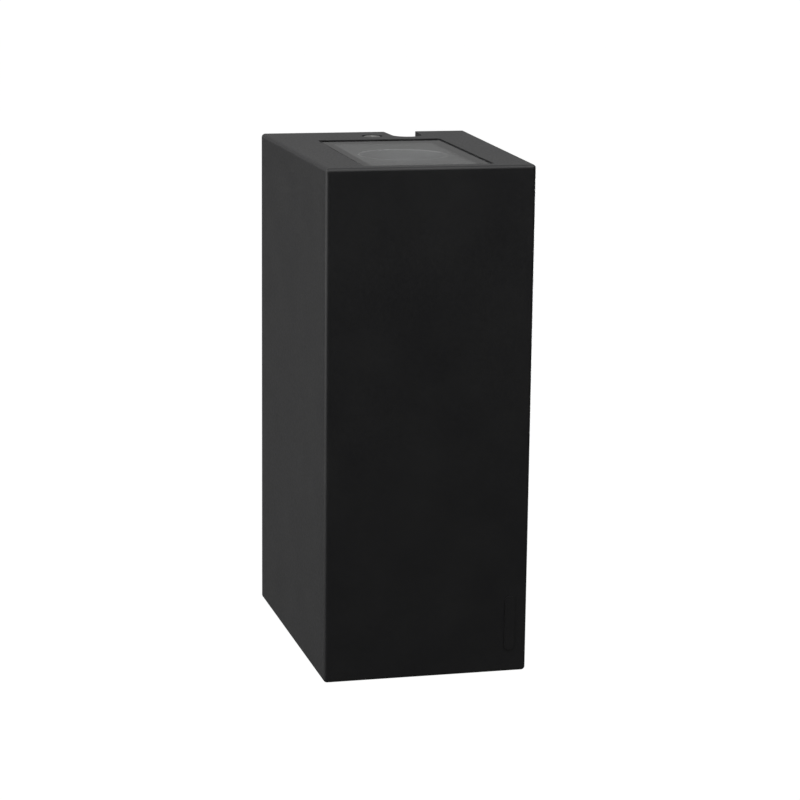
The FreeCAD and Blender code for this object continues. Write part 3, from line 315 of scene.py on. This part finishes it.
def make_finishes():
    """Every finish by name."""
    return {
        "paint": black_powder_coat(),
        "glass": window_glass(),
        "silicone": moulded("black_silicone", (0.012, 0.012, 0.012), 0.6),
        "mask": moulded("black_mask", (0.022, 0.022, 0.022), 0.7, 900, 0.00004),
        # Painted shade: the spun aluminium bowls get a dark grey in place of bright satin
        # aluminium. It stands in for the shade inside the housing, since the glass casts no shadow.
        "bowl": satin_metal("spun_aluminium_painted_shade", (0.2, 0.2, 0.21), 0.5, 260,
                            stretch=(0.2, 0.2, 6)),
        # Painted highlight: the rim bead is a paler, smoother metal than the bowl, so that it shows
        # as a bright arc. Part of its shine is real light on the rolled bead.
        "rim": satin_metal("rim_painted_highlight", (0.7, 0.7, 0.71), 0.3),
        "extrusion": satin_metal("extruded_aluminium", (0.66, 0.67, 0.68), 0.4,
                                 stretch=(1, 0.03, 1)),
        "board": moulded("white_board", (0.84, 0.84, 0.82), 0.45),
        "phosphor": moulded("phosphor", (0.85, 0.62, 0.09), 0.35, Coat_Weight=0.8),
        "zinc": satin_metal("zinc_plate", (0.6, 0.61, 0.62), 0.38, 300,
                            stretch=(1, 1, 0.5), depth=0.00002),
        "bright": satin_metal("bright_zinc", (0.68, 0.68, 0.66), 0.25),
        "stainless": satin_metal("stainless", (0.3, 0.3, 0.29), 0.4),
        "spring": satin_metal("spring_steel", (0.25, 0.24, 0.23), 0.4),
        "brass": satin_metal("brass", (0.78, 0.6, 0.3), 0.28),
        "foam": moulded("closed_foam", (0.03, 0.03, 0.03), 0.95, 500, 0.0003),
        "rubber": moulded("black_rubber", (0.02, 0.02, 0.02), 0.65),
        "white": moulded("white_polyamide", (0.8, 0.8, 0.77), 0.35),
        "pale": moulded("pale_case", (0.7, 0.7, 0.68), 0.5),
        "green": moulded("green_mask", (0.04, 0.2, 0.1), 0.35),
        "tape": moulded("winding_tape", (0.72, 0.58, 0.1), 0.4),
        "can": moulded("can_sleeve", (0.02, 0.025, 0.05), 0.3),
        "brown": moulded("brown_insulation", (0.18, 0.07, 0.03), 0.4),
        "blue": moulded("blue_insulation", (0.04, 0.14, 0.45), 0.4),
        "earth": moulded("earth_insulation", (0.25, 0.5, 0.05), 0.4),
        "lead": moulded("white_insulation", (0.78, 0.78, 0.75), 0.4),
    }


def dress_frame(finish):
    """Finishes for the CAD nodes that stay."""
    wearers = {
        "paint": ["housing"],
        "glass": both("glass"),
        "silicone": both("glass_seal"),
        "mask": both("window_mask"),
        "extrusion": both("heat_sink"),
        "board": both("led_board"),
        "zinc": ["bracket_plate", "plug_bridge"] + both("clamp_nut"),
        "spring": both("lock_clip"),
        "brass": ["earth_tag", "plug_pins"],
        "foam": ["wall_gasket"],
        "white": ["terminal_socket", "cable_clamp", "plug_block"],
        "pale": ["driver_case", "driver_lid"],
        "green": ["driver_circuit"],
        "tape": ["driver_transformer"],
        "can": ["driver_capacitors"],
        "brown": ["live_wire"],
        "blue": ["neutral_wire"],
        "earth": ["earth_wire"],
        "lead": both("led_lead"),
    }
    for name, nodes in wearers.items():
        dress(finish[name], *nodes)
    for name in both("glass"):
        NODES[name].visible_shadow = False


# New pieces: closed surfaces worked out as whole arrays, then put into one mesh per piece.

AXES = {"Y": 1, "Z": 2}
SHARP_ANGLE = math.radians(38)


def quads(rows, columns, loop):
    """Faces of a grid closed around its columns, and along its rows too when loop is set."""
    row, column = np.meshgrid(np.arange(rows if loop else rows - 1), np.arange(columns),
                              indexing="ij")
    here, beside = row * columns, (row + 1) % rows * columns
    after = (column + 1) % columns
    faces = np.stack([here + column, here + after, beside + after, beside + column],
                     axis=-1)
    return faces.reshape(-1, 4)


def solid(rings, loop=False):
    """Close a stack of rings into a solid: flat lids on its ends, or joined end to end by loop.

    Faces are turned outwards by the sign of the volume, which is the sum over faces of
    corner . (edge x edge)."""
    rows, columns, _ = rings.shape
    points = rings.reshape(-1, 3)
    faces = quads(rows, columns, loop)
    a, b, c, d = (points[faces[:, corner]] for corner in range(4))
    volume = np.sum(a * np.cross(b - a, c - a)) + np.sum(a * np.cross(c - a, d - a))
    lids = [] if loop else [list(range(columns))[::-1],
                            list(range((rows - 1) * columns, rows * columns))]
    if not loop:
        for ring, sign in ((rings[0], -1), (rings[-1], 1)):
            fan = np.cross(ring[1:-1] - ring[0], ring[2:] - ring[0])
            volume += sign * np.sum(ring[0] * fan.sum(axis=0))
    faces = faces.tolist() + lids
    if volume < 0:
        faces = [face[::-1] for face in faces]
    return points, faces


def turned(profile, columns=48, shape=None, loop=False):
    """Turn (radius, height) rows about Z; shape(radius, height, angle) may bend each radius."""
    radius, height = (np.array(column, float)[:, None] for column in zip(*profile))
    angle = np.linspace(0, FULL_TURN, columns, endpoint=False)[None, :]
    reach = radius + 0 * angle
    if shape:
        reach = shape(radius, height, angle)
    rings = np.stack([reach * np.cos(angle), reach * np.sin(angle), height + 0 * reach],
                     axis=-1)
    return solid(rings, loop)


def rounded_block(low, high, radius, steps=6):
    """A ball of the radius whose eight parts are pulled apart to the block's corners."""
    low, high = np.array(low, float), np.array(high, float)
    core = (high - low) / 2 - radius
    rise = (np.arange(2 * steps) + 0.5) / (2 * steps) * math.pi - math.pi / 2
    angle = (np.arange(4 * steps) + 0.5) / (4 * steps) * FULL_TURN
    rise, angle = np.meshgrid(rise, angle, indexing="ij")
    ball = np.stack([np.cos(rise) * np.cos(angle), np.cos(rise) * np.sin(angle), np.sin(rise)],
                    axis=-1)
    return solid(ball * radius + np.sign(ball) * core + (low + high) / 2)


def placed(part, place=(0, 0, 0), axis="Z", sign=1):
    """Turn a part drawn up Z so that its up is an axis, or the axis reversed, and move it there."""
    points, faces = part
    if axis == "Y":
        points = points[:, [0, 2, 1]] * (-1, 1, 1)
    if sign < 0:
        across = (1, -1, -1) if axis == "Z" else (-1, -1, 1)
        points = points * across
    return points + np.array(place), faces


def piece(name, parts, body, material, replaces=()):
    """Put parts into one mesh that rides on a body."""
    points, faces, start = [], [], 0
    for part_points, part_faces in parts:
        points.append(part_points)
        faces += [[corner + start for corner in face] for face in part_faces]
        start += len(part_points)
    mesh = bpy.data.meshes.new(name)
    mesh.from_pydata(np.concatenate(points).tolist(), [], faces)
    mesh.shade_smooth()
    mesh.set_sharp_from_angle(angle=SHARP_ANGLE)
    mesh.materials.append(material)
    item = bpy.data.objects.new(name, mesh)
    bpy.context.scene.collection.objects.link(item)
    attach(item, body)
    if replaces:
        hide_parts(*replaces)


def thread(top, foot, crest, root, pitch, tip=0.0):
    """Rows and a shape for a threaded bar: the radius climbs from root to crest once a turn.

    The phase is height / pitch less angle / full turn, and crest and root are cut flat."""
    rows_a_turn, flat_level, slope, slack = 8, 1.35, 2.6, 1e-9
    count = max(int(rows_a_turn * (top - foot) / pitch), rows_a_turn)
    heights = np.linspace(top, foot + tip, count)
    rows = [(crest, height) for height in heights]

    def shape(radius, height, angle):
        """Cut the rows that stand at the crest between top and foot."""
        phase = (height / pitch - angle / FULL_TURN) % 1.0
        ridge = np.clip(flat_level - slope * np.abs(phase - 0.5), 0, 1)
        cut = root + (crest - root) * ridge
        threaded = (height <= top + slack) & (height >= foot + tip - slack)
        return np.where(threaded & (np.abs(radius - crest) < slack), cut, radius + 0 * angle)

    return rows, shape


PAN_HEAD_RADIUS, PAN_HEAD_RISE = 2.8 * MM, 2.0 * MM


def pan_screw(length):
    """A pan-head screw: a domed head whose height drops by a soft-edged cross, and a cut thread.

    The dome falls with the square of the radius; the cross is the product of two soft steps."""
    head, rise, shank, pitch = PAN_HEAD_RADIUS, PAN_HEAD_RISE, 1.48 * MM, 0.5 * MM
    rows, shape = thread(-0.1 * MM, -length, shank, shank - 0.27 * MM, pitch, 0.4 * MM)
    bar = turned([(shank, 0.1 * MM)] + rows + [(shank * 0.6, -length)], 24, shape)

    foot_edge, side, shoulder_in, shoulder_up = 0.15 * MM, 0.9 * MM, 0.55 * MM, 0.75 * MM
    skirt = [(0.3 * head, 0), (head - foot_edge, 0), (head, foot_edge), (head, side)]
    shoulder = [(head - shoulder_in * (1 - math.cos(a)), side + shoulder_up * math.sin(a))
                for a in np.linspace(0, math.pi / 2, 6)[1:]]
    dome = [(radius, rise - 0.35 * MM * (radius / head) ** 2 - 0.02 * MM)
            for radius in np.linspace(head - 0.75 * MM, 0.02 * MM, 20)]
    points, faces = turned(skirt + shoulder + dome, 96)

    half_width, width_step = 0.36 * MM, 0.16 * MM
    half_reach, reach_step = 1.75 * MM, 0.5 * MM
    cross_depth, top_starts = 1.05 * MM, 1.2 * MM
    x, y, z = points.T
    near = np.minimum(np.abs(x), np.abs(y))
    far = np.maximum(np.abs(x), np.abs(y))
    cross = (np.clip((half_width - near) / width_step + 0.5, 0, 1)
             * np.clip((half_reach - far) / reach_step + 0.5, 0, 1))
    points[:, 2] = np.where(z > top_starts, z - cross_depth * cross, z)
    return [bar, (points, faces)]


def slotted_screw(length, radius):
    """A terminal screw: a round end with a soft-edged slot, and a thread below."""
    collar, rim_drop, pitch = 1.5 * MM, 0.2 * MM, 0.7 * MM
    half_slot, slot_step, slot_depth = 0.3 * MM, 0.1 * MM, 0.9 * MM
    rows, shape = thread(-collar, -length, radius, radius - 0.3 * MM, pitch, 0.3 * MM)
    face = [(part, 0) for part in np.linspace(0.02 * MM, radius - rim_drop, 16)]
    points, faces = turned(face + [(radius, -rim_drop), (radius, -1.4 * MM)] + rows
                           + [(0.5 * radius, -length)], 72, shape)
    groove = np.clip((half_slot - np.abs(points[:, 1])) / slot_step + 0.5, 0, 1)
    points[:, 2] -= np.where(points[:, 2] > -0.15 * MM, slot_depth * groove, 0)
    return [(points, faces)]


def screw_places(node, axis, sign, radius):
    """Where a node's screws stand: their heads' tops, from the node's box, and how long it is."""
    low, high = (Vector(corner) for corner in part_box(node))
    along = AXES[axis]
    spots = [[]]
    for side in range(3):
        if side == along:
            choices = [high[side] if sign > 0 else low[side]]
        elif high[side] - low[side] > 3 * radius:
            choices = [low[side] + radius, high[side] - radius]
        else:
            choices = [(low[side] + high[side]) / 2]
        spots = [spot + [choice] for spot in spots for choice in choices]
    return spots, high[along] - low[along]


def small_screws(material):
    """Every pan-head screw, in place of the plain ones: node, axis, the head's side, body."""
    rows = [(end + "_board_screws", "Z", sign, "housing") for end, sign in ENDS]
    rows += [(end + "_heat_sink_screws", "Z", -sign, "housing") for end, sign in ENDS]
    rows += [(name, "Y", 1, "housing")
             for name in ("bridge_screws", "driver_screws", "housing_earth_screw")]
    rows += [(name, "Y", -1, "wall_bracket")
             for name in ("socket_screws", "clamp_screws", "earth_screw")]
    for node, axis, sign, body in rows:
        spots, total = screw_places(node, axis, sign, PAN_HEAD_RADIUS)
        parts = []
        for spot in spots:
            spot[AXES[axis]] -= sign * PAN_HEAD_RISE
            parts += [placed(part, spot, axis, sign) for part in pan_screw(total - PAN_HEAD_RISE)]
        piece("cross_" + node, parts, body, material, [node])


POLES = (-1, 0, 1)
POLE_PITCH = 8 * MM


def terminal_screw_set(material):
    """The socket's three slotted screws, one to a pole."""
    low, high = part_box("terminal_screws")
    middle = (low.z + high.z) / 2
    parts = [placed(part, (pole * POLE_PITCH, low.y, middle), "Y", -1)
             for pole in POLES for part in slotted_screw(high.y - low.y, 1.9 * MM)]
    piece("slotted_terminal_screws", parts, "wall_bracket", material,
          ["terminal_screws"])


def end_spot(node, sign, outward=True):
    """The middle of a node's end face, outer or inner, and the node's height."""
    low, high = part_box(node)
    face = high.z if (sign > 0) == outward else low.z
    return ((low.x + high.x) / 2, (low.y + high.y) / 2, face), high.z - low.z


def hexagon(angle):
    """A hexagon's reach over its flat's reach at an angle."""
    return 1 / np.cos((angle + math.pi / 6) % (math.pi / 3) - math.pi / 6)


def lock_screws(material):
    """Socket-head captive screws: head, six-sided socket with a coned floor, neck and thread.

    Heights count down from the head's top. The bar is necked where the clip grips it."""
    head, head_height = 3.5 * MM, 4.0 * MM
    flat, socket_depth, cone = 1.5 * MM, 2.2 * MM, 0.6 * MM
    shank, neck, clip_gap = 2.0 * MM, 1.6 * MM, 0.15 * MM
    chamfer = flat * 1.1
    for end, sign in ENDS:
        spot, length = end_spot(end + "_lock_screw", sign)
        clip = [abs(corner.z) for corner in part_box(end + "_lock_clip")]
        neck_starts = abs(spot[2]) - max(clip) - clip_gap
        neck_ends = abs(spot[2]) - min(clip) + clip_gap
        socket = [(0.03 * MM, -socket_depth - cone), (flat * 0.9, -socket_depth)]
        wall = [(flat, -depth) for depth in np.linspace(socket_depth, 0.32 * MM, 5)]
        mouth = [(chamfer, -0.12 * MM), (flat * 1.22, 0)]
        rim = [(head - 0.75 * MM, 0), (head - 0.4 * MM, -0.02 * MM),
               (head - 0.12 * MM, -0.12 * MM), (head, -0.42 * MM),
               (head, -head_height + 0.25 * MM), (head - 0.15 * MM, -head_height)]
        bar = [(shank + 0.2 * MM, -head_height), (shank, -head_height - 0.15 * MM),
               (shank, -neck_starts), (neck, -neck_starts), (neck, -neck_ends),
               (shank - 0.35 * MM, -neck_ends)]
        rows, cut = thread(-neck_ends - clip_gap, -length, shank, shank - 0.38 * MM,
                           0.7 * MM, 0.7 * MM)
        tip = [(shank - 0.4 * MM, -length + 0.35 * MM), (shank - 0.7 * MM, -length),
               (0.1 * MM, -length)]

        def shape(radius, height, angle):
            """Six-sided in the socket, softly so at its mouth, and threaded below."""
            in_socket = (height > -socket_depth - 0.1 * MM) & (radius < flat * 1.01)
            at_mouth = (np.abs(radius - chamfer) < 1e-7) & (height > -head_height)
            reach = cut(radius, height, angle)
            reach = np.where(in_socket, radius * hexagon(angle), reach)
            return np.where(at_mouth, radius * (1 + 0.45 * (hexagon(angle) - 1)), reach)

        part = turned(socket + wall + mouth + rim + bar + rows + tip, 96, shape)
        piece(end + "_socket_screw", [placed(part, spot, "Z", sign)], end + "_lock",
              material, [end + "_lock_screw"])


def reflector_bowls(material, bright):
    """Spun bowls: a parabola, r^2 growing evenly with height, peened in rows of shallow facets.

    Each facet's depth is |sin| around the bowl times |sin| up it, and fades at both mouths."""
    throat, rim, wall = 7.2 * MM, 17.0 * MM, 0.9 * MM
    edge, rim_roll, rim_drop = rim + wall, 0.4 * MM, 0.8 * MM
    facets, tiers, facet_depth, fade_rate = 36, 9, 0.1 * MM, 12
    spread = rim ** 2 - throat ** 2
    for end, sign in ENDS:
        (_, middle, foot), height = end_spot(end + "_reflector", sign, outward=False)
        spot = (0, middle, foot)
        level = np.linspace(0, 1, 64)
        parabola = np.sqrt(throat ** 2 + spread * level)
        inside = [(radius, step * height) for radius, step in zip(parabola, level)]
        roll = [(edge, height - 0.1 * MM), (edge, height - rim_drop)]
        outside = [(radius + wall, step * (height - rim_drop))
                   for radius, step in zip(parabola[::-4], level[::-4])]

        def shape(radius, place, angle):
            """Press the facets into the parabola's own rows only."""
            share = place / height
            bowl_inside = np.abs(radius ** 2 - throat ** 2 - spread * share) < 1e-9
            turn = facets * (angle + math.pi / facets * np.floor(share * tiers))
            dimple = np.abs(np.sin(turn / 2)) * np.abs(np.sin(math.pi * share * tiers))
            fade = np.clip((1 - share) * fade_rate, 0, 1) * np.clip(share * fade_rate, 0, 1)
            return np.where(bowl_inside, radius + facet_depth * dimple * fade,
                            radius + 0 * angle)

        bowl = turned(inside[:-1] + roll + outside, 216, shape, loop=True)
        # The bowl wears the dark aluminium, whose grey is painted shade for the inside of the
        # housing.
        piece(end + "_spun_bowl", [placed(bowl, spot, "Z", sign)], "housing",
              material, [end + "_reflector"])
        # The bead wears the pale rim metal, whose brightness is partly a painted highlight.
        bead = [(edge - rim_roll + rim_roll * math.cos(a),
                 height - rim_roll + rim_roll * math.sin(a))
                for a in np.linspace(0, FULL_TURN, 12, endpoint=False)]
        ring = turned(bead, 144, loop=True)
        piece(end + "_bowl_rim", [placed(ring, spot, "Z", sign)], "housing",
              bright)


def emitters(phosphor, dam_white):
    """Chip-on-board emitters: a domed phosphor disc inside a raised dam with a round back."""
    edge, dam, dam_rise, fill_drop, dome = 6.5 * MM, 0.9 * MM, 0.45 * MM, 0.35 * MM, 0.15 * MM
    for end, sign in ENDS:
        (_, middle, foot), thickness = end_spot(end + "_led_emitter", sign, outward=False)
        spot = (0, middle, foot)
        fill = [(radius, thickness - fill_drop - dome * (radius / edge) ** 2)
                for radius in np.linspace(0.05 * MM, edge - dam, 14)]
        disc = turned(fill + [(edge - dam, 0.0), (0.05 * MM, 0.0)], 72)
        piece(end + "_phosphor_disc", [placed(disc, spot, "Z", sign)], "housing",
              phosphor, [end + "_led_emitter"])
        crest = edge - dam / 2
        ring = [(crest + dam / 2 * math.cos(a), thickness - dam_rise + dam_rise * math.sin(a))
                for a in np.linspace(0, math.pi, 10)]
        ring += [(edge - dam + 0.02 * MM, 0), (edge, 0)]
        ring = turned(ring, 96, loop=True)
        piece(end + "_emitter_dam", [placed(ring, spot, "Z", sign)], "housing",
              dam_white)


def board_details(tin, white):
    """On each lamp board: raised tracks and tinned pads, and the block that takes the two leads."""
    pad, stub, rail = (3.2, 2.2, 0.12, 0.05), (1.8, 0.7, 0.06, 0.025), (0.7, 30, 0.06, 0.025)
    pad_x, stub_x, rail_x, row_y = 14 * MM, 11.6 * MM, 23.5 * MM, 11 * MM
    corners = [(side, way) for side in (1, -1) for way in (1, -1)]
    for end, sign in ENDS:
        (_, middle, face), _ = end_spot(end + "_led_board", sign)

        def slab(x, y, sizes):
            """A thin raised slab on the board's outer face: width, depth, thickness, radius."""
            width, depth, thickness, radius = (size * MM for size in sizes)
            near, far = sorted((face, face + sign * thickness))
            return rounded_block((x - width / 2, y - depth / 2, near),
                                 (x + width / 2, y + depth / 2, far), radius, 3)

        pads = [slab(side * pad_x, middle + way * row_y, pad) for side, way in corners]
        pads += [slab(side * stub_x, middle + way * row_y, stub) for side, way in corners]
        pads += [slab(side * rail_x, middle, rail) for side in (1, -1)]
        piece(end + "_board_pads", pads, "housing", tin)

        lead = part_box(end + "_led_lead")
        x = (lead[0].x + lead[1].x) / 2
        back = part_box(end + "_led_board")[1].y - 0.6 * MM
        near, far = sorted((face, face + sign * 3.2 * MM))
        block = rounded_block((x - 3.4 * MM, back - 5.2 * MM, near),
                              (x + 3.4 * MM, back - 0.6 * MM, far), 0.45 * MM)
        lip_low, lip_high = (far, far + 0.5 * MM) if sign > 0 else (near - 0.5 * MM, near)
        lip = rounded_block((x - 2.6 * MM, back - 4.6 * MM, lip_low),
                            (x + 2.6 * MM, back - 3.2 * MM, lip_high), 0.2 * MM, 4)
        piece(end + "_lead_connector", [block, lip], "housing", white)


def grommet(material):
    """A cable grommet: two rounded lips either side of a groove, and a bore with soft mouths."""
    lip, neck, bore, lip_width, lip_round = 8.5 * MM, 7.0 * MM, 4.0 * MM, 1.5 * MM, 0.7 * MM
    mouth, skin = 0.5 * MM, 0.05 * MM
    low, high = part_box("cable_grommet")
    length = high.y - low.y
    round_lip = [(lip - lip_round + lip_round * math.cos(a),
                  lip_width / 2 + (lip_width / 2 - 0.02 * MM) * math.sin(a))
                 for a in np.linspace(-math.pi / 2, math.pi / 2, 8)]
    far_lip = [(radius, length - lip_width + height) for radius, height in round_lip]
    inner = [(bore + mouth, length - skin), (bore, length - mouth), (bore, mouth),
             (bore + mouth, skin)]
    profile = round_lip + [(neck, lip_width), (neck, length - lip_width)] + far_lip + inner
    spot = ((low.x + high.x) / 2, high.y, (low.z + high.z) / 2)
    piece("moulded_grommet", [placed(turned(profile, 72, loop=True), spot, "Y", -1)],
          "wall_bracket", material, ["cable_grommet"])


def sleeve(start, length, inner, outer, axis, sign):
    """A short tube with rounded mouths that runs from start along an axis."""
    edge = 0.25 * MM
    profile = [(inner, edge), (inner + edge, 0), (outer - edge, 0), (outer, edge),
               (outer, length - edge), (outer - edge, length), (inner + edge, length),
               (inner, length - edge)]
    return placed(turned(profile, 32, loop=True), start, axis, sign)


def wire_fittings(white, brass, grey):
    """Shrink sleeves at the pins, collars where wires enter the driver, and brass wire entries."""
    wire = 1.1 * MM
    sleeve_length, sleeve_wall = 8 * MM, 0.45 * MM
    collar_length, collar_wall = 3.2 * MM, 1.2 * MM
    lid_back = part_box("driver_lid")[1].y

    def shrink(x, y, z):
        """A shrink sleeve that runs back from a pin."""
        return sleeve((x, y, z), sleeve_length, wire, wire + sleeve_wall, "Y", -1)

    def collar(x, z):
        """A collar on the driver's lid."""
        return sleeve((x, lid_back, z), collar_length, wire, wire + collar_wall, "Y", 1)

    sleeves, collars = [], []
    for name in ("live_wire", "neutral_wire"):
        low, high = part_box(name)
        x = (low.x + high.x) / 2
        sleeves.append(shrink(x, high.y, high.z - wire))
        collars.append(collar(x, low.z + wire))
    low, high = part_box("earth_wire")
    sleeves.append(shrink(0, high.y, low.z + wire))
    piece("pin_sleeves", sleeves, "housing", white)
    for end, sign in ENDS:
        low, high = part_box(end + "_led_lead")
        collars.append(collar((low.x + high.x) / 2,
                              low.z + wire if sign > 0 else high.z - wire))
    piece("lid_collars", collars, "housing", grey)

    entry_y, sunk, entry_length = -10 * MM, 0.3 * MM, 6 * MM
    socket_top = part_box("terminal_socket")[1].z
    entries = [sleeve((pole * POLE_PITCH, entry_y, socket_top - sunk), entry_length,
                      1.15 * MM, 1.55 * MM, "Z", -1) for pole in POLES]
    piece("entry_sleeves", entries, "wall_bracket", brass)


bpy.context.scene.view_settings.view_transform = "Standard"
make_camera()
make_stage()
make_world()
make_lights()
finish = make_finishes()
dress_frame(finish)
small_screws(finish["bright"])
terminal_screw_set(finish["bright"])
lock_screws(finish["stainless"])
reflector_bowls(finish["bowl"], finish["rim"])
emitters(finish["phosphor"], finish["board"])
board_details(finish["bright"], finish["white"])
grommet(finish["rubber"])
wire_fittings(finish["white"], finish["brass"], finish["pale"])
